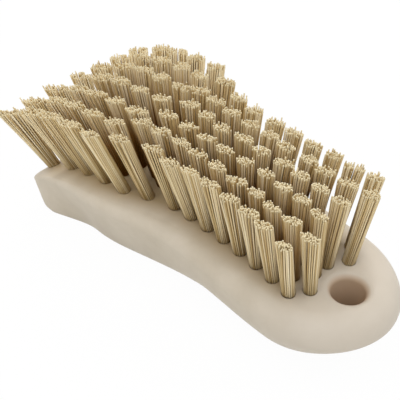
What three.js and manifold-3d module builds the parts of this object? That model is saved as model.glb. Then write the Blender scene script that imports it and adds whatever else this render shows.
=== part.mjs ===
// Hand brush for scrubbing cutting boards, lying on its back with the bristles up.
// One moulded plastic block with a hang hole carries staggered tufts of stiff filament.
// Millimetres, +Z up. The origin is on the flat back, under the middle of the block's length.
// +X runs towards the hang hole, and the toe, the wide end, is at -X.

import * as THREE from "three";
import { mergeGeometries, mergeVertices } from "three/addons/utils/BufferGeometryUtils.js";
import Module from "manifold-3d";

// Block
const blockLength = 150;
const blockHeight = 25.4;
const heelHalfWidth = 26.7;
const waistHalfWidth = 26.1;
const headHalfWidth = 33.9;
const heelRoundLength = 30;
const waistFromHeel = 70;
const headFromToe = 36;
const toeCornerLength = 10;
const toeRoundness = 5.3;

// Rounding of the block's edges. Grip and heel are round underneath.
const faceEdgeRadius = 5;
const heelEdgeRadius = 8.8;
const toeEdgeRadius = 2.6;
const gripInset = 18.4;
const heelInset = 17.6;
const heelRise = 12.8;
const heelRiseLength = 45;

// The head has flat walls with a sharp lower edge. They lean in towards the back.
const wallInset = 1.5;
const wallRoundness = 5;
const wallFromToe = 46;
const wallBlendLength = 45.7;
const wallSlant = 6.3;
const wallSlantFromToe = 10.4;
const wallSlantLength = 23.9;
const toeSlant = 5.7;
const toeSlantLength = 20;

// The bristle face is level and then falls away to the toe
const toeFall = 15.4;
const toeFallLength = 71.5;
const toeFallPower = 3.4;

// Hang hole
const hangHoleFromHeel = 16.3;
const hangHoleRadius = 5.8;
const hangHoleRim = 2.6;

// Tufts: each is round in its hole and spreads lengthwise to its cut end.
// Its strands stand in a zigzag, given by their reach along X and to each side.
const strandsPerTuft = 5;
const strandSides = 3;
const strandRadius = 0.75;
const strandTipRadius = 0.95;
const tuftRootReach = 1.6;
const tuftRootSide = 0.8;
const handleTipReach = 3.1;
const headTipReach = 4;
const tuftTipSide = 0.7;
const tipRaggedness = 0.8;
const trimLength = 29.3;
const trimShortening = 0.033;

// Field of the handle: rows along X, with the second row from each side set back half a pitch.
// The outer rows stand at a share of the block's half width, and their last tufts stand out
// with the shoulder.
const handleRows = 6;
const handleRowShare = 0.5134;
const handleColumnLand = 3.3;
const holeToTufts = 12.1;
const rowSpreadLength = 84.7;
const rowSpreadFromHeel = 63;

// Field of the head, in columns that bow towards the handle, the last one close to the toe
const headColumns = 5;
const headRows = 7;
const headRowShare = 0.6354;
const headColumnLand = 4.84;
const headBow = 2.4;
const headSplay = 0.026;
const toeColumnLand = 8.17;
const toeTuftMargin = 4.55;
const shoulderLand = 11.56;
const shoulderTuftShift = 2.6;

// How the tufts fan out: slopes along X over the fan's length, and sideways per mm
const fanLength = 50.5;
const fanMiddle = -0.092;
const fanSlope = 0.231;
const fanBend = -0.095;
const fanAtSides = -0.004;
const fanHalfWidth = 30;
const sideFan = 0.0174;
const sideFanReach = 64;

// Layer of the block's face that holds each field of tufts
const sliceDepth = 3;
const sliceGap = 0.3;
const sliceInset = 1.9;
const holeLand = 1.6;
const shoulderColumns = 2;

const outlineSteps = 52;
const lowerSteps = 5;
const upperSteps = 4;

const wasm = await Module();
wasm.setup();

function solidOf(geometry) {
  const bare = geometry.index ? geometry.toNonIndexed() : geometry.clone();
  for (const name of Object.keys(bare.attributes)) {
    if (name !== "position") {
      bare.deleteAttribute(name);
    }
  }
  const merged = mergeVertices(bare, 1e-4);
  const mesh = new wasm.Mesh({
    numProp: 3,
    vertProperties: new Float32Array(merged.attributes.position.array),
    triVerts: new Uint32Array(merged.index.array),
  });
  return new wasm.Manifold(mesh);
}

function geometryOf(solid) {
  const mesh = solid.getMesh();
  const geometry = new THREE.BufferGeometry();
  geometry.setAttribute("position", new THREE.BufferAttribute(mesh.vertProperties, 3));
  geometry.setIndex(new THREE.BufferAttribute(mesh.triVerts, 1));
  geometry.computeVertexNormals();
  return geometry;
}

// Plan of the block

const heelEnd = blockLength / 2;
const toeEnd = -blockLength / 2;
const heelX = heelEnd - heelRoundLength;
const waistX = heelEnd - waistFromHeel;
const headX = toeEnd + headFromToe;
const wallX = toeEnd + wallFromToe;
const wallSlantX = toeEnd + wallSlantFromToe;
const toeFallStart = toeEnd + toeFallLength;
const heelRiseStart = heelEnd - heelRiseLength;
const hangHoleX = heelEnd - hangHoleFromHeel;

function ease(x, from, to, start, end) {
  const share = THREE.MathUtils.smoothstep((x - start) / (end - start), 0, 1);
  return THREE.MathUtils.lerp(from, to, share);
}

// The sides swell from the waist to the heel and to the head
function halfWidthAt(x) {
  if (x > waistX) {
    return ease(x, waistHalfWidth, heelHalfWidth, waistX, heelX);
  }
  return ease(x, waistHalfWidth, headHalfWidth, waistX, headX);
}

// Point of the near side, from the heel's end (t = 0) to the toe's end (t = 1)
function outlinePoint(t) {
  const x = (Math.cos(Math.PI * t) * blockLength) / 2;
  const heelReach = THREE.MathUtils.clamp((x - heelX) / heelRoundLength, 0, 1);
  const toeReach = THREE.MathUtils.clamp(1 - (x - toeEnd) / toeCornerLength, 0, 1);
  const heelRound = Math.sqrt(1 - heelReach ** 2);
  const toeRound = (1 - toeReach ** toeRoundness) ** (1 / toeRoundness);
  return new THREE.Vector2(x, -halfWidthAt(x) * heelRound * toeRound);
}

// Half of the outline at even spacing, from the heel to the toe, then mirrored
function blockOutline(steps) {
  const fine = [];
  for (let i = 0; i <= 2000; i += 1) {
    fine.push(outlinePoint(i / 2000));
  }
  const run = [0];
  for (let i = 1; i < fine.length; i += 1) {
    run.push(run[i - 1] + fine[i].distanceTo(fine[i - 1]));
  }
  const half = [];
  let at = 0;
  for (let i = 0; i <= steps; i += 1) {
    const goal = (run[run.length - 1] * i) / steps;
    while (at < run.length - 2 && run[at + 1] < goal) {
      at += 1;
    }
    const share = (goal - run[at]) / (run[at + 1] - run[at]);
    half.push(fine[at].clone().lerp(fine[at + 1], THREE.MathUtils.clamp(share, 0, 1)));
  }
  half[0].y = 0;
  half[steps].y = 0;
  const mirrored = half.slice(1, steps).reverse().map((p) => new THREE.Vector2(p.x, -p.y));
  return half.concat(mirrored);
}

function inwardNormals(points) {
  return points.map((p, i) => {
    const before = points[(i + points.length - 1) % points.length];
    const after = points[(i + 1) % points.length];
    const along = after.clone().sub(before).normalize();
    return new THREE.Vector2(along.y, -along.x);
  });
}

function faceHeight(x) {
  const past = Math.max(0, (toeFallStart - x) / toeFallLength);
  return blockHeight - toeFall * past ** toeFallPower;
}

// The back is flat and curves up under the heel
function backHeight(x) {
  return heelRise * Math.max(0, (x - heelRiseStart) / heelRiseLength) ** 2;
}

// Share of the way to the heel and to the toe, for the edge radii
function heelShare(x) {
  return THREE.MathUtils.smoothstep(x, waistX, heelEnd);
}

function toeShare(x) {
  return THREE.MathUtils.smoothstep(-x, -waistX, -toeEnd);
}

function blend(x, middle, heel, toe) {
  return middle + (heel - middle) * heelShare(x) + (toe - middle) * toeShare(x);
}

const outline = blockOutline(outlineSteps);
const normals = inwardNormals(outline);

function insetPoint(i, inset) {
  return outline[i].clone().addScaledVector(normals[i], inset);
}

// Share of the way from the round grip to the flat wall of the head
function wallShare(x) {
  return THREE.MathUtils.smoothstep(-x, -wallX - wallBlendLength, -wallX);
}

// How far the foot of the side wall, and that of the toe's end, leans in
function sideLean(x) {
  const grown = THREE.MathUtils.smoothstep(x, wallSlantX, wallSlantX + wallSlantLength);
  return wallSlant * wallShare(x) * grown;
}

function toeLean(x) {
  return toeSlant * THREE.MathUtils.smoothstep(-x, -toeEnd - toeSlantLength, -toeEnd);
}

// Rings of the block, from the flat back round the lower edge to the bristle face
function blockRings() {
  const rings = [];
  for (let step = 0; step <= lowerSteps; step += 1) {
    const angle = (Math.PI / 2) * (step / lowerSteps);
    rings.push(
      outline.map((p, i) => {
        const power = 2 / THREE.MathUtils.lerp(2, wallRoundness, wallShare(p.x));
        const out = Math.sin(angle) ** power;
        const down = step < lowerSteps ? Math.cos(angle) ** power : 0;
        const under = blend(p.x, gripInset, heelInset, gripInset);
        const inset = THREE.MathUtils.lerp(under, wallInset, wallShare(p.x));
        const at = insetPoint(i, inset * (1 - out) + sideLean(p.x) * down);
        at.x += toeLean(p.x) * down;
        const radius = blend(p.x, faceEdgeRadius, heelEdgeRadius, toeEdgeRadius);
        const widest = faceHeight(p.x) - radius;
        const back = backHeight(at.x);
        return new THREE.Vector3(at.x, at.y, widest - (widest - back) * down);
      })
    );
  }
  for (let step = 1; step <= upperSteps; step += 1) {
    const angle = (Math.PI / 2) * (step / upperSteps);
    rings.push(
      outline.map((p, i) => {
        const radius = blend(p.x, faceEdgeRadius, heelEdgeRadius, toeEdgeRadius);
        const at = insetPoint(i, radius * (1 - Math.cos(angle)));
        const top = THREE.MathUtils.lerp(faceHeight(p.x), faceHeight(at.x), step / upperSteps);
        return new THREE.Vector3(at.x, at.y, top - radius * (1 - Math.sin(angle)));
      })
    );
  }
  return rings;
}

function loft(rings) {
  const count = rings[0].length;
  const half = count / 2;
  const positions = rings.flat().flatMap((p) => [p.x, p.y, p.z]);
  const index = [];
  for (let r = 0; r < rings.length - 1; r += 1) {
    for (let i = 0; i < count; i += 1) {
      const a = r * count + i;
      const b = r * count + ((i + 1) % count);
      index.push(a, a + count, b, b, a + count, b + count);
    }
  }
  const top = (rings.length - 1) * count;
  for (let i = 0; i < half; i += 1) {
    const near = [i, i + 1];
    const far = [(count - i) % count, count - i - 1];
    const quad = [near[0], near[1], far[1], far[0]];
    for (const corner of [[0, 1, 2], [0, 2, 3]]) {
      const [a, b, c] = corner.map((k) => quad[k]);
      if (a !== b && b !== c && a !== c) {
        index.push(a, b, c);
        index.push(top + a, top + c, top + b);
      }
    }
  }
  const geometry = new THREE.BufferGeometry();
  geometry.setAttribute("position", new THREE.Float32BufferAttribute(positions, 3));
  geometry.setIndex(index);
  return geometry;
}

// Cutter for the hang hole, flared where it meets the face and the back
function hangHoleCutter() {
  const flare = [];
  for (let i = 0; i <= 3; i += 1) {
    const angle = THREE.MathUtils.degToRad(25 * i);
    const out = hangHoleRim * (1 - Math.cos(angle));
    flare.push(new THREE.Vector2(hangHoleRadius + out, hangHoleRim * (1 - Math.sin(angle))));
  }
  const lip = new THREE.Vector2(flare[3].x + hangHoleRim / 2, flare[3].y - hangHoleRim / 4);
  flare.push(lip, new THREE.Vector2(0, lip.y));
  const back = flare.slice().reverse();
  const face = flare.map((p) => new THREE.Vector2(p.x, blockHeight - p.y));
  const cutter = new THREE.LatheGeometry(back.concat(face), 22);
  cutter.rotateX(Math.PI / 2);
  cutter.rotateZ(0.1);
  cutter.translate(hangHoleX, 0, 0);
  return cutter;
}

// Upright prism over a region of the plan
function prism(points) {
  const shape = new THREE.Shape(points);
  return new THREE.ExtrudeGeometry(shape, { depth: 2 * blockHeight, bevelEnabled: false });
}

function rectangle(x0, x1, y0, y1) {
  const corners = [[x0, y0], [x1, y0], [x1, y1], [x0, y1]];
  return prism(corners.map(([x, y]) => new THREE.Vector2(x, y)));
}

// Edge of the tuft fields, in steps that fall between those of the block
const planEdge = blockOutline(outlineSteps - 5);
const planNormals = inwardNormals(planEdge);

const blockGeometry = loft(blockRings());
const blockSolid = solidOf(blockGeometry);

// Layer along the bristle face, from a given rise above it down to a given depth below it,
// inside a given inset from the outline
function faceLayer(rise, depth, inset, holeClearance) {
  const above = solidOf(blockGeometry.clone().translate(0, 0, rise));
  const below = solidOf(blockGeometry.clone().translate(0, 0, -depth));
  const plan = solidOf(prism(planEdge.map((p, i) => p.clone().addScaledVector(planNormals[i], inset))));
  const round = new THREE.CylinderGeometry(holeClearance, holeClearance, 3 * blockHeight, 24);
  round.rotateX(Math.PI / 2).translate(hangHoleX, 0, 0);
  const heel = rectangle(hangHoleX - holeClearance * 0.3, blockLength, -blockLength, blockLength);
  return above
    .subtract(below)
    .intersect(plan)
    .subtract(solidOf(round))
    .subtract(solidOf(heel));
}

// Tufts

const tuftRootWidth = 2 * (tuftRootReach + strandRadius);
const headRowPitch = (2 * headRowShare * headHalfWidth) / (headRows - 1);
const headColumnPitch = tuftRootWidth + headColumnLand;
const toeColumnX = toeEnd + toeTuftMargin;
const headFirstX = toeColumnX + tuftRootWidth + toeColumnLand + headColumnPitch * (headColumns - 2);

// As many columns as the handle has room for, spread evenly from the hang hole to the shoulder
const firstColumnX = hangHoleX - holeToTufts;
const handleSpan = firstColumnX - headFirstX - shoulderLand;
const handleColumns = Math.round(handleSpan / (tuftRootWidth + handleColumnLand)) + 1;
const handleColumnPitch = handleSpan / (handleColumns - 1);
const handleSetBack = handleColumnPitch / 2;
const handleRowPitch = (2 * handleRowShare * waistHalfWidth) / (handleRows - 1);
const rowSpreadX = heelEnd - rowSpreadFromHeel;

function tuftRoots() {
  const roots = [];
  for (let column = -1; column < handleColumns; column += 1) {
    for (let row = 1; row <= handleRows; row += 1) {
      const setBack = row === 2 || row === handleRows - 1;
      if (column < 0 && !setBack) {
        continue;
      }
      const x = firstColumnX - handleColumnPitch * column - (setBack ? handleSetBack : 0);
      const spread = 1 + ((x - rowSpreadX) / rowSpreadLength) ** 2;
      const across = row - (handleRows + 1) / 2;
      const atShoulder = column === handleColumns - 1 && (row === 1 || row === handleRows);
      const shift = atShoulder ? shoulderTuftShift : 0;
      const y = across * handleRowPitch * spread + Math.sign(across) * shift;
      roots.push({ x: x - shift, y });
    }
  }
  for (let column = 0; column < headColumns; column += 1) {
    for (let row = 1; row <= headRows; row += 1) {
      const across = row - (headRows + 1) / 2;
      const bow = headBow * (1 - (across / ((headRows - 1) / 2)) ** 2);
      const last = column === headColumns - 1;
      const x = last ? toeColumnX : headFirstX - headColumnPitch * column;
      roots.push({ x: x + bow, y: across * headRowPitch * (1 + headSplay * column) });
    }
  }
  return roots;
}

function tuftDirection(root) {
  const u = (root.x - toeFallStart) / fanLength;
  const side = root.y / fanHalfWidth;
  const lengthwise = fanMiddle + fanSlope * u + fanBend * u * u + fanAtSides * side * side;
  const sideways = root.y * sideFan * (1 - (root.y / sideFanReach) ** 2);
  return new THREE.Vector3(lengthwise, sideways, 1).normalize();
}

function tuftLength(root) {
  const u = (root.x - toeFallStart) / fanLength;
  return trimLength * (1 - trimShortening * u * u);
}

// Even-looking spread of values from 0 to 1
function scatter(n) {
  return (n * 0.6180339887) % 1;
}

// One strand: a straight prism that widens from its root to its cut tip
function strand(root, tip, turn) {
  const positions = [];
  for (const [centre, radius] of [[root, strandRadius], [tip, strandTipRadius]]) {
    for (let side = 0; side < strandSides; side += 1) {
      const angle = turn + (2 * Math.PI * side) / strandSides;
      positions.push(
        centre.x + radius * Math.cos(angle),
        centre.y + radius * Math.sin(angle),
        centre.z
      );
    }
  }
  const index = [0, 2, 1, 3, 4, 5];
  for (let side = 0; side < strandSides; side += 1) {
    const next = (side + 1) % strandSides;
    index.push(side, next, side + 3, next, next + 3, side + 3);
  }
  const geometry = new THREE.BufferGeometry();
  geometry.setAttribute("position", new THREE.Float32BufferAttribute(positions, 3));
  geometry.setIndex(index);
  return geometry;
}

function tuftStrands(root, number) {
  const direction = tuftDirection(root);
  const length = tuftLength(root);
  const tipReach = ease(root.x, headTipReach, handleTipReach, headFirstX, firstColumnX);
  const foot = new THREE.Vector3(root.x, root.y, faceHeight(root.x));
  const strands = [];
  for (let n = 0; n < strandsPerTuft; n += 1) {
    const along = (2 * n) / (strandsPerTuft - 1) - 1;
    const side = n % 2 === 0 ? 1 : -1;
    const cut = length - tipRaggedness * scatter(number * strandsPerTuft + n);
    const from = foot.clone();
    from.x += tuftRootReach * along;
    from.y += tuftRootSide * side;
    from.z = faceHeight(from.x);
    from.addScaledVector(direction, -sliceDepth / 2);
    const to = foot.clone().addScaledVector(direction, cut);
    to.x += tipReach * along;
    to.y += tuftTipSide * side;
    strands.push(strand(from, to, n + number * 0.7));
  }
  return strands;
}

// Fields of tufts, each on its own slice of the face, parted midway between columns

const lastHandleX = firstColumnX - handleColumnPitch * (handleColumns - 1) - handleSetBack;
const shoulderSplitX = (lastHandleX + headFirstX + headBow) / 2;
const headSplitX = headFirstX - headColumnPitch * (shoulderColumns - 0.5) + headBow / 2;

const fields = [
  { name: "tufts_handle_near", x: [shoulderSplitX, heelEnd], y: [-blockLength, 0] },
  { name: "tufts_handle_far", x: [shoulderSplitX, heelEnd], y: [0, blockLength] },
  { name: "tufts_shoulder", x: [headSplitX, shoulderSplitX], y: [-blockLength, blockLength] },
  { name: "tufts_toe", x: [toeEnd, headSplitX], y: [-blockLength, blockLength] },
];

const holeRing = hangHoleRadius + hangHoleRim + holeLand;
const sliceLayer = faceLayer(0, sliceDepth, sliceInset, holeRing);
const pocket = faceLayer(
  sliceDepth,
  sliceDepth + sliceGap,
  sliceInset - sliceGap,
  holeRing - sliceGap
);
const roots = tuftRoots();

const brush = new THREE.Group();

const ivory = new THREE.MeshStandardMaterial({ color: 0xd9cdb9, roughness: 0.55, metalness: 0 });
const block = new THREE.Mesh(
  geometryOf(blockSolid.subtract(solidOf(hangHoleCutter())).subtract(pocket)),
  ivory
);
block.name = "block";
brush.add(block);

for (const field of fields) {
  const [x0, x1] = field.x;
  const [y0, y1] = field.y;
  const patch = rectangle(
    x0 + sliceGap / 2,
    x1 - sliceGap / 2,
    y0 + sliceGap / 2,
    y1 - sliceGap / 2
  );
  const strands = [];
  roots.forEach((root, number) => {
    if (root.x > x0 && root.x < x1 && root.y > y0 && root.y < y1) {
      strands.push(...tuftStrands(root, number));
    }
  });
  const solid = sliceLayer.intersect(solidOf(patch)).add(solidOf(mergeGeometries(strands)));
  const tan = new THREE.MeshStandardMaterial({ color: 0xc3a981, roughness: 0.5, metalness: 0 });
  const tufts = new THREE.Mesh(geometryOf(solid), tan);
  tufts.name = field.name;
  brush.add(tufts);
}

export default brush;
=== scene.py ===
import math
import random

import bmesh
import bpy
from mathutils import Matrix, Vector
from mathutils.bvhtree import BVHTree


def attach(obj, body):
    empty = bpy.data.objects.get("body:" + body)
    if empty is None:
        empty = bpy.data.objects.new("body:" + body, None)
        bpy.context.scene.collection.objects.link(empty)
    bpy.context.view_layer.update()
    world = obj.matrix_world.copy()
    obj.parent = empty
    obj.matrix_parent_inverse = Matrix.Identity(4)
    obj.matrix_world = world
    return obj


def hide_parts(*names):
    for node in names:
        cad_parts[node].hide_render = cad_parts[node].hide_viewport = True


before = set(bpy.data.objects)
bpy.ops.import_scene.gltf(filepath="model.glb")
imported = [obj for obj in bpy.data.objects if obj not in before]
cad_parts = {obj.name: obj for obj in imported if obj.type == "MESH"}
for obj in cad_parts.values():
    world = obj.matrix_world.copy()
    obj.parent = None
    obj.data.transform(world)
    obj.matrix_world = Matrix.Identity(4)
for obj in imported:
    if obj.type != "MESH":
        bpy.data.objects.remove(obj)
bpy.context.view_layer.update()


# Block
# One solid moulding of ivory polypropylene, waisted for the grip and wide at the toe.
# Its back is flat, its bristle face falls away to the toe, and it is drilled with a blind hole
# for each tuft and with a hang hole through the heel.

# Sizes are in millimetres. X runs from the toe to the heel, and Z up out of the bristle face.
mm = 0.001
block_length = 150
block_height = 25.4
heel_half_width, waist_half_width, head_half_width = 26.7, 26.1, 33.9
heel_round_length = 30
toe_corner_length, toe_roundness = 10, 5.3
face_edge_radius, heel_edge_radius, toe_edge_radius = 5, 8.8, 1.3
grip_inset, heel_inset, wall_inset = 18.4, 17.6, 1.5
wall_roundness = 5
wall_slant, toe_slant = 6.3, 5.7
heel_rise, heel_rise_length = 12.8, 45
toe_fall, toe_fall_length, toe_fall_power = 15.4, 71.5, 3.4
heel_end = block_length / 2
toe_end = -block_length / 2
waist_x = heel_end - 70
head_x = toe_end + 36
wall_x, grip_x = toe_end + 46, toe_end + 91.7
wall_slant_start, wall_slant_full = toe_end + 10.4, toe_end + 34.3
toe_slant_start = toe_end + 20
heel_x = heel_end - heel_round_length
toe_fall_start = toe_end + toe_fall_length


def share_between(x, start, end):
    """A smooth step from 0 at the start to 1 at the end."""
    t = min(1, max(0, (x - start) / (end - start)))
    return t * t * (3 - 2 * t)


def half_width(x):
    """Half the width of the plan, before its two ends are rounded."""
    if x > waist_x:
        end, far = heel_half_width, heel_x
    else:
        end, far = head_half_width, head_x
    return waist_half_width + (end - waist_half_width) * share_between(x, waist_x, far)


def outline_point(t):
    """Near side of the plan, from the heel's end (0) to the toe's end (1)."""
    x = math.cos(math.pi * t) * block_length / 2
    heel_reach = min(1, max(0, (x - heel_x) / heel_round_length))
    toe_reach = min(1, max(0, 1 - (x - toe_end) / toe_corner_length))
    heel_round = math.sqrt(1 - heel_reach**2)
    toe_round = (1 - toe_reach**toe_roundness) ** (1 / toe_roundness)
    return Vector((x, -half_width(x) * heel_round * toe_round))


def block_outline(steps):
    """The whole plan at even spacing: the near side, then its mirror image."""
    fine_steps = 4000
    fine = [outline_point(i / fine_steps) for i in range(fine_steps + 1)]
    run = [0]
    for before, after in zip(fine, fine[1:]):
        run.append(run[-1] + (after - before).length)
    near, at = [], 0
    for i in range(steps + 1):
        goal = run[-1] * i / steps
        while at < len(run) - 2 and run[at + 1] < goal:
            at += 1
        share = (goal - run[at]) / (run[at + 1] - run[at])
        near.append(fine[at].lerp(fine[at + 1], min(1, max(0, share))))
    near[0].y = near[-1].y = 0
    return near + [Vector((p.x, -p.y)) for p in near[-2:0:-1]]


def face_height(x):
    past = max(0, (toe_fall_start - x) / toe_fall_length)
    return block_height - toe_fall * past**toe_fall_power


def back_height(x):
    return heel_rise * max(0, (x - heel_end + heel_rise_length) / heel_rise_length) ** 2


def along_block(x, middle, heel, toe):
    """A size that changes from the waist to each end of the block."""
    to_heel = (heel - middle) * share_between(x, waist_x, heel_end)
    to_toe = (toe - middle) * share_between(x, waist_x, toe_end)
    return middle + to_heel + to_toe


def lower_side(x, angle):
    """How far in, along and down the lower side of the block is at an angle of its rounding.

    Grip and heel are round, and the head has flat walls that lean in to a sharp lower edge.
    """
    wall = share_between(x, grip_x, wall_x)
    power = 2 / (2 + (wall_roundness - 2) * wall)
    out = math.sin(angle) ** power
    down = max(0, math.cos(angle)) ** power
    under = along_block(x, grip_inset, heel_inset, grip_inset)
    inset = (under + (wall_inset - under) * wall) * (1 - out)
    lean = wall_slant * wall * share_between(x, wall_slant_start, wall_slant_full)
    end_lean = toe_slant * share_between(x, toe_slant_start, toe_end)
    return inset + lean * down, end_lean * down, down


def block_rings(outline, lower_steps, upper_steps):
    """Rings from the flat back round the lower edge to the bristle face."""
    count = len(outline)
    inward = []
    for i in range(count):
        along = (outline[(i + 1) % count] - outline[i - 1]).normalized()
        inward.append(Vector((along.y, -along.x)))
    rings = []
    for step in range(lower_steps + upper_steps + 1):
        ring = []
        for p, n in zip(outline, inward):
            radius = along_block(p.x, face_edge_radius, heel_edge_radius, toe_edge_radius)
            if step <= lower_steps:
                inset, along, down = lower_side(p.x, math.pi / 2 * step / lower_steps)
                at = p + n * inset + Vector((along, 0))
                widest = face_height(p.x) - radius
                z = widest - (widest - back_height(at.x)) * down
            else:
                share = (step - lower_steps) / upper_steps
                angle = math.pi / 2 * share
                at = p + n * radius * (1 - math.cos(angle))
                top = face_height(p.x) + (face_height(at.x) - face_height(p.x)) * share
                z = top - radius * (1 - math.sin(angle))
            ring.append(Vector((at.x, at.y, z)))
        rings.append(ring)
    return rings


def loft_faces(body, rings):
    """Skins rings of equal length. Returns the rings' vertices, with both ends still open."""
    made = [[body.verts.new(p * mm) for p in ring] for ring in rings]
    for low, high in zip(made, made[1:]):
        for i in range(len(low)):
            j = (i + 1) % len(low)
            body.faces.new((low[i], low[j], high[j], high[i]))
    return made


def close_across(body, ring):
    """Closes a ring with strips that join each near point to its mirror image."""
    count = len(ring)
    for i in range(count // 2):
        strip = [ring[i], ring[i + 1], ring[count - i - 1], ring[-i]]
        body.faces.new(list(dict.fromkeys(strip)))


block_mesh = bmesh.new()
block_loft = loft_faces(
    block_mesh,
    block_rings(block_outline(steps=150), lower_steps=18, upper_steps=14),
)
close_across(block_mesh, block_loft[0])
close_across(block_mesh, block_loft[-1])
bmesh.ops.recalc_face_normals(block_mesh, faces=block_mesh.faces)
block_surface = BVHTree.FromBMesh(block_mesh)

hang_hole_x = heel_end - 16.3
hang_hole_radius = 5.8
hang_hole_rim, hang_hole_back_rim = 2.6, 1.6
rim_turn = math.radians(82)
rim_run_out, rim_run_up = 0.3, 0.1
clear_of_block = 100


def surface_height(x, y, from_above):
    """Height of the block's upper or lower surface at a spot."""
    side = 1 if from_above else -1
    start = Vector((x, y, side * clear_of_block)) * mm
    hit = block_surface.ray_cast(start, Vector((0, 0, -side)))
    return hit[0].z / mm


def hang_hole_rings(segments, rim_steps):
    """Rings of the cutter: each rim follows the surface that it rounds into.

    The last ring past each rim lies just outside the block, so that the cut is clean.
    """
    rings = []
    for from_above in (False, True):
        rim = hang_hole_rim if from_above else hang_hole_back_rim
        way = -1 if from_above else 1
        rim_rings = []
        for step in range(rim_steps + 2):
            angle = rim_turn * min(step, rim_steps) / rim_steps
            out = rim * (1 - math.cos(angle))
            sunk = rim * (1 - math.sin(angle))
            if step > rim_steps:
                out += rim * rim_run_out
                sunk = -rim * rim_run_up
            ring = []
            for i in range(segments):
                turn = 2 * math.pi * (i + 0.5) / segments
                x = hang_hole_x + (hang_hole_radius + out) * math.cos(turn)
                y = (hang_hole_radius + out) * math.sin(turn)
                ring.append(Vector((x, y, surface_height(x, y, from_above) + way * sunk)))
            rim_rings.append(ring)
        rings += rim_rings if from_above else rim_rings[::-1]
    return rings


drill = bmesh.new()
hang_hole_loft = loft_faces(drill, hang_hole_rings(segments=64, rim_steps=8))
drill.faces.new(hang_hole_loft[0])
drill.faces.new(hang_hole_loft[-1])

# Where the tufts stand: rows along the handle, the second from each side set back half a pitch,
# then bowed columns on the head, the last one close to the toe
handle_columns, handle_rows = 9, 6
handle_row_pitch, handle_column_pitch = 5.36, 8
first_column_x = hang_hole_x - 12.1
row_spread_x, row_spread_length = heel_end - 63, 84.7
head_columns, head_rows = 5, 7
head_row_pitch, head_column_pitch, toe_column_pitch = 7.18, 9.54, 12.87
toe_column_x = toe_end + 4.55
head_first_x = toe_column_x + toe_column_pitch + head_column_pitch * (head_columns - 2)
head_bow, head_splay = 2.4, 0.026
shoulder_tuft_shift = 2.6


def tuft_roots():
    """The middle of each tuft's hole in the bristle face."""
    roots = []
    for column in range(-1, handle_columns):
        for row in range(1, handle_rows + 1):
            set_back = row in (2, handle_rows - 1)
            if column < 0 and not set_back:
                continue
            x = first_column_x - handle_column_pitch * (column + (0.5 if set_back else 0))
            across = row - (handle_rows + 1) / 2
            y = across * handle_row_pitch * (1 + ((x - row_spread_x) / row_spread_length) ** 2)
            if column == handle_columns - 1 and row in (1, handle_rows):
                x -= shoulder_tuft_shift
                y += math.copysign(shoulder_tuft_shift, across)
            roots.append(Vector((x, y, face_height(x))))
    for column in range(head_columns):
        for row in range(1, head_rows + 1):
            across = row - (head_rows + 1) / 2
            last = column == head_columns - 1
            x = toe_column_x if last else head_first_x - head_column_pitch * column
            x += head_bow * (1 - (across / ((head_rows - 1) / 2)) ** 2)
            y = across * head_row_pitch * (1 + head_splay * column)
            roots.append(Vector((x, y, face_height(x))))
    return roots


# How the tufts fan out: they lean to the toe and the heel from the place where the face starts
# to fall, and to each side from the middle
fan_length, fan_half_width, side_fan_reach = 50.5, 30, 64
fan_middle, fan_slope, fan_bend, fan_at_sides = -0.092, 0.231, -0.095, -0.004
side_fan = 0.0174


def tuft_direction(root):
    u = (root.x - toe_fall_start) / fan_length
    lengthwise = fan_middle + fan_slope * u + fan_bend * u * u
    lengthwise += fan_at_sides * (root.y / fan_half_width) ** 2
    sideways = root.y * side_fan * (1 - (root.y / side_fan_reach) ** 2)
    return Vector((lengthwise, sideways, 1)).normalized()


def circle_points(centre, turned, radius, sides):
    """Corners of a circle about the Z axis of a rotation."""
    corners = []
    for i in range(sides):
        angle = 2 * math.pi * i / sides
        spoke = Vector((math.cos(angle), math.sin(angle), 0)) * radius
        corners.append(centre + turned @ spoke)
    return corners


tuft_hole_radius, tuft_hole_depth = 2.45, 0.6
tuft_hole_sides = 24
drill_clearance = 2.5
for root in tuft_roots():
    axis = tuft_direction(root)
    turned = axis.to_track_quat("Z", "Y")
    rings = []
    for height in (-tuft_hole_depth, drill_clearance):
        centre = root + axis * height
        rings.append(circle_points(centre, turned, tuft_hole_radius, tuft_hole_sides))
    tuft_hole_loft = loft_faces(drill, rings)
    drill.faces.new(tuft_hole_loft[0])
    drill.faces.new(tuft_hole_loft[-1])
bmesh.ops.recalc_face_normals(drill, faces=drill.faces)


def object_of(name, body):
    mesh = bpy.data.meshes.new(name)
    body.to_mesh(mesh)
    body.free()
    made = bpy.data.objects.new(name, mesh)
    bpy.context.scene.collection.objects.link(made)
    return made


block = object_of("moulded_block", block_mesh)
cutter = object_of("drills", drill)
drilling = block.modifiers.new("drilling", "BOOLEAN")
drilling.operation = "DIFFERENCE"
drilling.solver = "EXACT"
drilling.object = cutter
drilled = block.evaluated_get(bpy.context.evaluated_depsgraph_get())
block.data = bpy.data.meshes.new_from_object(drilled)
block.data.name = "moulded_block"
block.modifiers.clear()
bpy.data.objects.remove(cutter)
block.data.shade_smooth()
block.data.set_sharp_from_angle(angle=math.radians(32))


def linear(hex_colour):
    """Linear colour, with alpha, of an sRGB hex value such as "d9cdb9"."""
    parts = [int(hex_colour[i : i + 2], 16) / 255 for i in (0, 2, 4)]
    return [c / 12.92 if c <= 0.04045 else ((c + 0.055) / 1.055) ** 2.4 for c in parts] + [1]


def add_node(tree, kind, options, inputs):
    """Adds a node. An input is a value, or the output of another node that feeds it."""
    node = tree.nodes.new(kind)
    for name, value in options.items():
        setattr(node, name, value)
    for name, value in inputs.items():
        if isinstance(value, bpy.types.NodeSocket):
            tree.links.new(value, node.inputs[name])
        else:
            node.inputs[name].default_value = value
    return node


def per_metre(millimetres):
    """Scale of a noise whose features are about that wide."""
    return 1 / (millimetres * mm)


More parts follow.
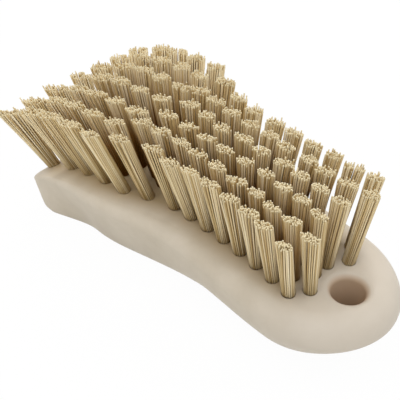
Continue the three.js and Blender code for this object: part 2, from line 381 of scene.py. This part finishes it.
# Moulded polypropylene: an opaque, slightly waxy plastic with a satin skin. The pigment is a
# little cloudy, and the tool leaves a fine grain that breaks up the highlights.
polypropylene = bpy.data.materials.new("moulded_polypropylene")
polypropylene.use_nodes = True
tree = polypropylene.node_tree
tree.nodes.clear()
place = add_node(tree, "ShaderNodeTexCoord", {}, {}).outputs["Object"]
cloud_width = 16
cloud = add_node(
    tree,
    "ShaderNodeTexNoise",
    {},
    {"Vector": place, "Scale": per_metre(cloud_width), "Detail": 4, "Roughness": 0.6},
)
pigment = add_node(tree, "ShaderNodeValToRGB", {}, {"Fac": cloud.outputs["Fac"]})
pigment.color_ramp.elements[0].position = 0.3
pigment.color_ramp.elements[0].color = linear("c3b7a3")
pigment.color_ramp.elements[1].position = 0.7
pigment.color_ramp.elements[1].color = linear("d1c6b4")
# The heel is painted a little paler than the rest, as painted light standing in for the brighter
# light that falls on it
heel_pale_start, heel_pale_full, heel_paleness = 30, 64, 0.6
place_parts = add_node(tree, "ShaderNodeSeparateXYZ", {}, {"Vector": place})
towards_heel = add_node(
    tree,
    "ShaderNodeMapRange",
    {"interpolation_type": "SMOOTHSTEP"},
    {
        "Value": place_parts.outputs["X"],
        "From Min": heel_pale_start * mm,
        "From Max": heel_pale_full * mm,
        "To Max": heel_paleness,
    },
)
heel_painted_lighter = add_node(
    tree,
    "ShaderNodeMix",
    {"data_type": "RGBA"},
    {0: towards_heel.outputs["Result"], 6: pigment.outputs["Color"], 7: linear("d0c6b9")},
)
# Little light gets into the hang hole, and what returns from the plastic there is browner
bore_shade_start, bore_shade_full = hang_hole_radius + 1.5, hang_hole_radius + 0.1
from_hole_axis = add_node(
    tree,
    "ShaderNodeVectorMath",
    {"operation": "MULTIPLY_ADD"},
    {0: place, 1: (1, 1, 0), 2: (-hang_hole_x * mm, 0, 0)},
)
hole_distance = add_node(
    tree,
    "ShaderNodeVectorMath",
    {"operation": "LENGTH"},
    {0: from_hole_axis.outputs["Vector"]},
)
in_bore = add_node(
    tree,
    "ShaderNodeMapRange",
    {},
    {
        "Value": hole_distance.outputs["Value"],
        "From Min": bore_shade_start * mm,
        "From Max": bore_shade_full * mm,
    },
)
shaded = add_node(
    tree,
    "ShaderNodeMix",
    {"data_type": "RGBA"},
    {0: in_bore.outputs["Result"], 6: heel_painted_lighter.outputs[2], 7: linear("c6ae94")},
)
# The face between the tufts is painted darker and tanner, as painted shade from the tufts and the
# painted tan of light that comes back off the filaments.
# The tan fades out past the outermost tufts, which stand further from the middle on the head.
tan_heel_x, tan_toe_x, tan_fade_length = first_column_x + 3, toe_column_x - 5.4, 6
tan_half_width, tan_fade_width = 21, 7
tan_lowest, tan_fade_height = 8, 5
tan_middle_x = (tan_heel_x + tan_toe_x) / 2
tan_outside = Vector(((tan_heel_x - tan_toe_x) / 2, tan_half_width, tan_lowest))
tan_inside = tan_outside + Vector((-tan_fade_length, -tan_fade_width, tan_fade_height))
handle_half_field = handle_row_pitch * (handle_rows - 1) / 2
head_half_field = head_row_pitch * (head_rows - 1) / 2 * (1 + head_splay * (head_columns - 1))
from_middle = add_node(
    tree,
    "ShaderNodeVectorMath",
    {"operation": "SUBTRACT"},
    {0: place, 1: (tan_middle_x * mm, 0, 0)},
)
middle_distance = add_node(
    tree,
    "ShaderNodeVectorMath",
    {"operation": "ABSOLUTE"},
    {0: from_middle.outputs["Vector"]},
)
row_widening = add_node(
    tree,
    "ShaderNodeMapRange",
    {"interpolation_type": "SMOOTHSTEP"},
    {
        "Value": place_parts.outputs["X"],
        "From Min": toe_fall_start * mm,
        "From Max": head_x * mm,
        "To Max": (head_half_field - handle_half_field) * mm,
    },
)
row_shift = add_node(
    tree,
    "ShaderNodeCombineXYZ",
    {},
    {"Y": row_widening.outputs["Result"]},
)
field_distance = add_node(
    tree,
    "ShaderNodeVectorMath",
    {"operation": "SUBTRACT"},
    {0: middle_distance.outputs["Vector"], 1: row_shift.outputs["Vector"]},
)
# Inputs 7 and 8 are the two ends of the range of a vector
within = add_node(
    tree,
    "ShaderNodeMapRange",
    {"data_type": "FLOAT_VECTOR"},
    {"Vector": field_distance.outputs["Vector"], 7: tan_outside * mm, 8: tan_inside * mm},
)
within_parts = add_node(tree, "ShaderNodeSeparateXYZ", {}, {"Vector": within.outputs["Vector"]})
within_plan = add_node(
    tree,
    "ShaderNodeMath",
    {"operation": "MULTIPLY"},
    {0: within_parts.outputs["X"], 1: within_parts.outputs["Y"]},
)
among_tufts = add_node(
    tree,
    "ShaderNodeMath",
    {"operation": "MULTIPLY"},
    {0: within_plan.outputs["Value"], 1: within_parts.outputs["Z"]},
)
# Painted shade and painted tan bounce light on the face among the tufts
shaded_among_tufts = add_node(
    tree,
    "ShaderNodeMix",
    {"data_type": "RGBA"},
    {0: among_tufts.outputs["Value"], 6: shaded.outputs[2], 7: linear("b09a76")},
)
# The grain is about 0.2 mm across, drawn at 0.7 mm so that it shows
grain_width, grain_depth = 0.7, 0.03
grain = add_node(
    tree,
    "ShaderNodeTexNoise",
    {},
    {"Vector": place, "Scale": per_metre(grain_width), "Detail": 2},
)
skin = add_node(
    tree,
    "ShaderNodeMapRange",
    {},
    {"Value": cloud.outputs["Fac"], "To Min": 0.42, "To Max": 0.56},
)
bump = add_node(
    tree,
    "ShaderNodeBump",
    {},
    {"Height": grain.outputs["Fac"], "Strength": 0.25, "Distance": grain_depth * mm},
)
plastic = add_node(
    tree,
    "ShaderNodeBsdfPrincipled",
    {},
    {
        "Base Color": shaded_among_tufts.outputs[2],
        "Roughness": skin.outputs["Result"],
        "Normal": bump.outputs["Normal"],
        "IOR": 1.49,
        "Specular IOR Level": 0.4,
    },
)
add_node(tree, "ShaderNodeOutputMaterial", {}, {"Surface": plastic.outputs["BSDF"]})
block.data.materials.append(polypropylene)
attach(block, "root")
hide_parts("block")


# Tufts
# Each is a bundle of stiff tan polyester filament, folded over a flat wire anchor and driven
# into its hole, so both halves stand up out of the face. The field is then trimmed, which
# leaves pale cut ends, and the filaments splay a little towards them.

trim_length, trim_shortening = 29.3, 0.033
filament_radius = 0.265
filament_sides = 6
pale_end_length = 0.7
foot_clearance = 0.2

# Rings of a bundle: how many filaments each has, and its share of the bundle's radius
handle_bundle = ((22, 1), (18, 0.78), (13, 0.56), (8, 0.34), (3, 0.12))
head_bundle = ((24, 1), (20, 0.78), (14, 0.56), (9, 0.34), (4, 0.12))

# Sizes of a bundle at the first column, the head's first column and the toe's column. Its cut
# end is an oval, whose long axis turns away from the block's length by some degrees. Half way up
# it, a filament has gone a little less than half of its way out.
root_radii = 2.05, 2.12, 2.2
end_half_lengths = 3.0, 3.3, 3.85
end_half_widths = 1.6, 1.65, 1.8
end_turns = 10, 32, 50
splay_at_middle = 0.42

# How much setting and trimming vary: the lean, size and turn of a bundle, the gap where some
# part at the fold, and how far each filament strays, sways and stands proud or short
lean_spread = 0.014
least_size, most_size = 0.93, 1.07
turn_spread = 6
fold_gaps = 0, 0, 0, 0.1, 0.25
stray_spread, stray_at_foot = 0.12, 0.15
sway = 0.5
mean_trim_error, trim_spread = -0.15, 0.45
long_ends = 0, 0, 0, 0, 0, 0, 0, 0.7

# The four fields meet midway between columns, and along the middle of the handle
last_handle_x = first_column_x - handle_column_pitch * (handle_columns - 0.5)
shoulder_split_x = (last_handle_x + head_first_x + head_bow) / 2
head_split_x = head_first_x - head_column_pitch * 1.5 + head_bow / 2


def field_of(root):
    """The CAD node whose tufts this one belongs to."""
    if root.x < head_split_x:
        return "tufts_toe"
    if root.x < shoulder_split_x:
        return "tufts_shoulder"
    return "tufts_handle_near" if root.y < 0 else "tufts_handle_far"


def along_field(x, handle, shoulder, toe):
    """A size that changes along the field, from those at three of its columns."""
    if x > head_first_x:
        share = (first_column_x - x) / (first_column_x - head_first_x)
        return handle + (shoulder - handle) * share
    return shoulder + (toe - shoulder) * (head_first_x - x) / (head_first_x - toe_column_x)


def tuft_filaments(root, chance):
    """Paths of one tuft's filaments, each with whether the bundle's outer ring covers it.

    A path has four points: foot, middle, neck and cut end. The fold over the anchor spreads the
    bundle to both sides of it, so its end is oval.
    """
    axis = tuft_direction(root)
    lean = Vector((chance.gauss(0, lean_spread), chance.gauss(0, lean_spread), 0))
    axis = (axis + lean).normalized()
    root_radius = along_field(root.x, *root_radii)
    half_length = along_field(root.x, *end_half_lengths) * chance.uniform(least_size, most_size)
    half_breadth = along_field(root.x, *end_half_widths) * chance.uniform(least_size, most_size)
    end_turn = math.radians(along_field(root.x, *end_turns) + chance.gauss(0, turn_spread))
    along = Vector((math.cos(end_turn), math.sin(end_turn), 0))
    along = (along - axis * axis.dot(along)).normalized()
    across = axis.cross(along)
    u = (root.x - toe_fall_start) / fan_length
    length = trim_length * (1 - trim_shortening * u * u)
    gap = chance.choice(fold_gaps)
    places = []
    for count, ring in head_bundle if root.x < shoulder_split_x else handle_bundle:
        first_angle = chance.uniform(0, 2 * math.pi)
        for n in range(count):
            angle = first_angle + 2 * math.pi * n / count
            places.append((ring * math.cos(angle), ring * math.sin(angle), ring < 1))
    paths = []
    for lengthwise, sideways, covered in places:
        stray = along * chance.gauss(0, stray_spread) + across * chance.gauss(0, stray_spread)
        foot = (along * lengthwise + across * sideways) * root_radius + stray * stray_at_foot
        tip = along * (lengthwise * half_length + math.copysign(gap, lengthwise))
        tip += across * sideways * half_breadth + stray
        ragged = chance.gauss(mean_trim_error, trim_spread) + chance.choice(long_ends)
        reach = length + ragged - tip.z / axis.z
        start = root + foot - axis * (tuft_hole_depth - foot_clearance)
        end = root + tip + axis * reach
        middle = root + foot.lerp(tip, splay_at_middle) + stray * chance.uniform(-sway, sway)
        middle += axis * (reach * 0.5)
        neck = end + (middle - end).normalized() * pale_end_length
        paths.append(([start, middle, neck, end], covered))
    return paths


# At a path's four points: how far up it each is, and how deep in other filaments each is, on a
# filament well inside the field and on one that its own bundle covers; the depth sets its painted
# shade
rise_at = 0, 0.5, 0.9, 1
depth_in_field = 1, 0.88, 0.08, 0
depth_in_bundle = 0.95, 0.83, 0.12, 0

# Where the inside of the whole field starts and where it is full: by the distance from the
# block's side, and by the place along the block at the field's two ends
inside_from_side = 11.5, 16.5
inside_from_heel = first_column_x + 3, first_column_x - 5
inside_from_toe = toe_column_x + 4, toe_column_x + 16


def share_inside(foot):
    """0 for a filament at the edge of the whole field, and 1 for one well inside it."""
    from_side = share_between(half_width(foot.x) - abs(foot.y), *inside_from_side)
    from_heel = share_between(foot.x, *inside_from_heel)
    from_toe = share_between(foot.x, *inside_from_toe)
    return from_side * from_heel * from_toe


# A filament's own cell of the bake map: its sides laid flat, the cut end above and the foot below
strip_left, strip_width = 0.1, 0.8
strip_bottom, strip_step = 0.08, 0.2
foot_spot, foot_spot_radius = 0.04, 0.03
end_spot, end_spot_radius = 0.82, 0.12


def filament_faces():
    """The faces of one filament, as numbers of its points, and each corner's spot in its cell."""
    faces, spots = [], []
    top = len(rise_at) - 1
    for level in range(top):
        for side in range(filament_sides):
            around = (side, side + 1, side + 1, side)
            up = (level, level, level + 1, level + 1)
            faces.append([v * filament_sides + s % filament_sides for s, v in zip(around, up)])
            for s, v in zip(around, up):
                spot_x = strip_left + strip_width * s / filament_sides
                spots.append(Vector((spot_x, strip_bottom + strip_step * v)))
    for level, spot, radius in ((0, foot_spot, foot_spot_radius), (top, end_spot, end_spot_radius)):
        order = range(filament_sides) if level else range(filament_sides - 1, -1, -1)
        faces.append([level * filament_sides + s for s in order])
        for s in order:
            angle = 2 * math.pi * s / filament_sides
            spots.append(Vector((0.5 + radius * math.cos(angle), spot + radius * math.sin(angle))))
    return faces, spots


def filament_field(name, roots):
    """One mesh of a field's filaments, with a tone for each, and a rise and depth for each point."""
    chance = random.Random(name)
    paths = [path for root in roots for path in tuft_filaments(root, chance)]
    cells = math.ceil(math.sqrt(len(paths)))
    one_faces, one_spots = filament_faces()
    points, faces, smooth, tones, rises, depths, corners = [], [], [], [], [], [], []
    for number, (path, covered) in enumerate(paths):
        tone = chance.random()
        first = len(points)
        axis = (path[-1] - path[0]).normalized()
        turned = axis.to_track_quat("Z", "Y")
        inside = share_inside(path[0])
        for centre, rise, in_field, in_bundle in zip(path, rise_at, depth_in_field, depth_in_bundle):
            for point in circle_points(centre, turned, filament_radius, filament_sides):
                points.append(point * mm)
                tones.append(tone)
                rises.append(rise)
                depths.append(max(in_field * inside, in_bundle * covered))
        faces += [[first + point for point in face] for face in one_faces]
        smooth += [True] * (len(one_faces) - 2) + [False] * 2
        cell = Vector((number % cells, number // cells))
        corners += [(cell + spot) / cells for spot in one_spots]
    mesh = bpy.data.meshes.new(name)
    mesh.from_pydata(points, [], faces)
    mesh.polygons.foreach_set("use_smooth", smooth)
    for label, values in (("tone", tones), ("rise", rises), ("depth", depths)):
        mesh.attributes.new(label, "FLOAT", "POINT").data.foreach_set("value", values)
    bake_map = mesh.uv_layers.new(name="OFBake")
    bake_map.data.foreach_set("uv", [c for corner in corners for c in corner])
    mesh.update()
    field = bpy.data.objects.new(name, mesh)
    bpy.context.scene.collection.objects.link(field)
    return field


# Polyester filament: drawn, so it is smooth with a soft sheen along its length. The filaments
# differ in tan, a quarter of them darker than the rest. Those deep among the others are painted
# darker brown, as painted shade and the tan of light that reaches them through other filament,
# and the trimmed ends are pale.
polyester = bpy.data.materials.new("polyester_filament")
polyester.use_nodes = True
tree = polyester.node_tree
tree.nodes.clear()
own_tone = add_node(tree, "ShaderNodeAttribute", {"attribute_name": "tone"}, {})
own_rise = add_node(tree, "ShaderNodeAttribute", {"attribute_name": "rise"}, {})
own_depth = add_node(tree, "ShaderNodeAttribute", {"attribute_name": "depth"}, {})
tan = add_node(tree, "ShaderNodeValToRGB", {}, {"Fac": own_tone.outputs["Fac"]})
tan.color_ramp.elements[0].color = linear("bb9e6a")
tan.color_ramp.elements[1].color = linear("faecca")
tan.color_ramp.elements.new(0.25).color = linear("dcc490")
# Painted shade: filaments deep in the field and in their bundle are mixed towards dark brown
depth_shaded = add_node(
    tree,
    "ShaderNodeMix",
    {"data_type": "RGBA"},
    {0: own_depth.outputs["Fac"], 6: tan.outputs["Color"], 7: linear("855404")},
)
cut_end = add_node(tree, "ShaderNodeValToRGB", {}, {"Fac": own_rise.outputs["Fac"]})
cut_end.color_ramp.elements[0].position = rise_at[2]
cut_end.color_ramp.elements[0].color = (0, 0, 0, 1)
cut_end.color_ramp.elements[1].position = rise_at[3]
cut_end.color_ramp.elements[1].color = (1, 1, 1, 1)
colour = add_node(
    tree,
    "ShaderNodeMix",
    {"data_type": "RGBA"},
    {0: cut_end.outputs["Color"], 6: depth_shaded.outputs[2], 7: linear("d8caa6")},
)
fibre = add_node(
    tree,
    "ShaderNodeBsdfPrincipled",
    {},
    {
        "Base Color": colour.outputs[2],
        "Roughness": 0.42,
        "IOR": 1.57,
        "Specular IOR Level": 0.2,
    },
)
add_node(tree, "ShaderNodeOutputMaterial", {}, {"Surface": fibre.outputs["BSDF"]})

for node in ("tufts_handle_near", "tufts_handle_far", "tufts_shoulder", "tufts_toe"):
    roots = [root for root in tuft_roots() if field_of(root) == node]
    field = filament_field(node + "_filaments", roots)
    field.data.materials.append(polyester)
    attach(field, "root")
    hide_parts(node)


# Studio
# A white paper floor under a white surround that is brightest high up, with three large soft
# lamps: to the front left, the front right and the back left. Floor and surround look white to
# the camera, and the floor keeps a faint shadow.

floor_half_length = 3
floor_drop = 0.0002
floor_mesh = bmesh.new()
bmesh.ops.create_grid(floor_mesh, x_segments=1, y_segments=1, size=floor_half_length)
floor = object_of("floor", floor_mesh)
floor.location.z = -floor_drop


def direct_view(tree):
    """1 for the rays that see the studio directly, in a gloss or through something clear."""
    ray = add_node(tree, "ShaderNodeLightPath", {}, {}).outputs
    sharp = add_node(
        tree,
        "ShaderNodeMath",
        {"operation": "ADD"},
        {0: ray["Is Glossy Ray"], 1: ray["Is Transmission Ray"]},
    )
    return add_node(
        tree,
        "ShaderNodeMath",
        {"operation": "ADD", "use_clamp": True},
        {0: ray["Is Camera Ray"], 1: sharp.outputs["Value"]},
    ).outputs["Value"]


# White paper: matt and even. Nearly all of the white that the camera sees is the paper's own
# glow, and the small rest is lit, so a soft shadow shows in it.
paper_glow = 0.97
paper = bpy.data.materials.new("white_paper")
paper.use_nodes = True
tree = paper.node_tree
tree.nodes.clear()
matt = add_node(tree, "ShaderNodeBsdfDiffuse", {}, {"Color": linear("f0f0ee")})
glow = add_node(tree, "ShaderNodeEmission", {}, {"Color": (1, 1, 1, 1), "Strength": 1})
seen = add_node(
    tree,
    "ShaderNodeMath",
    {"operation": "MULTIPLY"},
    {0: direct_view(tree), 1: paper_glow},
)
sheet = add_node(
    tree,
    "ShaderNodeMixShader",
    {},
    {0: seen.outputs["Value"], 1: matt.outputs["BSDF"], 2: glow.outputs["Emission"]},
)
add_node(tree, "ShaderNodeOutputMaterial", {}, {"Surface": sheet.outputs["Shader"]})
floor.data.materials.append(paper)

# Greys of the surround from the horizon (0) to straight overhead (1)
horizon_grey, overhead_grey = 0.12, 0.75
bank_greys = (0.4, 0.25), (0.6, 0.7), (0.85, 1)
surround_strength = 1.53
surround = bpy.data.worlds.new("white_surround")
surround.use_nodes = True
tree = surround.node_tree
tree.nodes.clear()
toward = add_node(tree, "ShaderNodeTexCoord", {}, {}).outputs["Generated"]
toward_parts = add_node(tree, "ShaderNodeSeparateXYZ", {}, {"Vector": toward})
banks = add_node(tree, "ShaderNodeValToRGB", {}, {"Fac": toward_parts.outputs["Z"]})
banks.color_ramp.elements[0].color = (horizon_grey, horizon_grey, horizon_grey, 1)
banks.color_ramp.elements[1].color = (overhead_grey, overhead_grey, overhead_grey, 1)
for position, grey in bank_greys:
    banks.color_ramp.elements.new(position).color = (grey, grey, grey, 1)
banked = add_node(
    tree,
    "ShaderNodeMath",
    {"operation": "MULTIPLY"},
    {0: banks.outputs["Color"], 1: surround_strength},
)
strength = add_node(
    tree,
    "ShaderNodeMix",
    {},
    {0: direct_view(tree), 2: banked.outputs["Value"], 3: 1},
)
sky = add_node(
    tree,
    "ShaderNodeBackground",
    {},
    {"Color": (1, 1, 1, 1), "Strength": strength.outputs[0]},
)
add_node(tree, "ShaderNodeOutputWorld", {}, {"Surface": sky.outputs["Background"]})
bpy.context.scene.world = surround


def soft_lamp(name, place, size, watts):
    """A round lamp that faces the brush."""
    lamp = bpy.data.lights.new(name, "AREA")
    lamp.shape = "DISK"
    lamp.size = size
    lamp.energy = watts
    made = bpy.data.objects.new(name, lamp)
    made.location = place
    made.rotation_euler = (-Vector(place)).to_track_quat("-Z", "Y").to_euler()
    bpy.context.scene.collection.objects.link(made)


soft_lamp("key_lamp", place=(-0.2, -1.0, 0.9), size=0.9, watts=0.3)
soft_lamp("fill_lamp", place=(0.6, -0.7, 1.2), size=0.9, watts=1.5)
soft_lamp("back_lamp", place=(-0.4, 0.4, 0.5), size=0.45, watts=1.7)

# The camera looks down over the near corner of the heel, along the brush to the toe
camera_place = Vector((0.17355, -0.17412, 0.24505))
camera_right = Vector((0.6847, 0.7289, 0.0003)).normalized()
camera_forward = Vector((-0.5436, 0.5109, -0.6659)).normalized()
camera_up = camera_right.cross(camera_forward)
camera = bpy.data.objects.new("camera", bpy.data.cameras.new("camera"))
camera.data.sensor_width = 36
camera.data.lens = 82.68
camera.data.clip_start = 0.01
camera_axes = Matrix((camera_right, camera_up, -camera_forward)).transposed().to_4x4()
camera.matrix_world = Matrix.Translation(camera_place) @ camera_axes
bpy.context.scene.collection.objects.link(camera)
bpy.context.scene.camera = camera
bpy.context.scene.view_settings.view_transform = "Standard"
